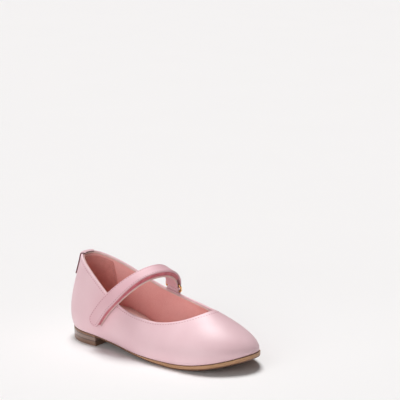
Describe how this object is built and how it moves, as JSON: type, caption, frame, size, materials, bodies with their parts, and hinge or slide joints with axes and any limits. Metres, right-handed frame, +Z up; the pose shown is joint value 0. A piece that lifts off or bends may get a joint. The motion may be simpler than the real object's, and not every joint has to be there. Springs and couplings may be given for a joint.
{
  "type": "ballet slipper",
  "caption": "Child's right ballet flat with a low heel, and an instep strap that folds back through an oblong ring and closes with hook and loop tape.",
  "frame": {"origin": "middle of the bounding box's base, on the floor under the shoe", "axes": "+X from heel to toe, +Y to the inner side of the foot, +Z up"},
  "size_m": [0.1858, 0.0712, 0.0712],
  "materials": {
    "outsole": "satin",
    "heel_stack": "polished",
    "heel_top_piece": "satin",
    "shank": "brushed",
    "felt": "matte",
    "board": "matte",
    "foam": "matte",
    "insock": "matte",
    "patent": "gloss",
    "lining": "matte",
    "stiffener": "matte",
    "topline_tape": "matte",
    "heel_grip": "suede",
    "tape": "fuzzy",
    "ring": "polished"
  },
  "bodies": {
    "shoe": {"outsole": "outsole", "heel_block": "heel_stack", "heel_top_piece": "heel_top_piece", "shank": "shank", "bottom_filler": "felt", "insole_board": "board", "heel_cushion": "foam", "insock": "insock", "upper": "patent", "lining": "lining", "lasting_margin": "board", "heel_counter": "stiffener", "toe_puff": "stiffener", "backer_outer": "stiffener", "backer_inner": "stiffener", "topline_tape": "topline_tape", "heel_grip": "heel_grip", "heel_tab": "patent", "strap_under": "patent", "strap_under_backing": "lining", "strap_loop_tape": "tape", "ring_tab": "patent"},
    "flap": {"strap_flap": "patent", "strap_flap_backing": "lining", "strap_hook_tape": "tape"},
    "ring": {"ring": "ring"}
  },
  "joints": [
    {"name": "strap_flap", "type": "hinge", "parent": "shoe", "child": "flap", "pos_m": [-0.00813, 0.02626, 0.0507], "axis": [-0.9627, -0.0796, 0.2587], "range_deg": [0, 110]},
    {"name": "ring_swivel", "type": "hinge", "parent": "shoe", "child": "ring", "pos_m": [-0.00985, 0.02872, 0.04504], "axis": [0.9627, 0.0796, -0.2587], "range_deg": [-3, 3]}
  ]
}
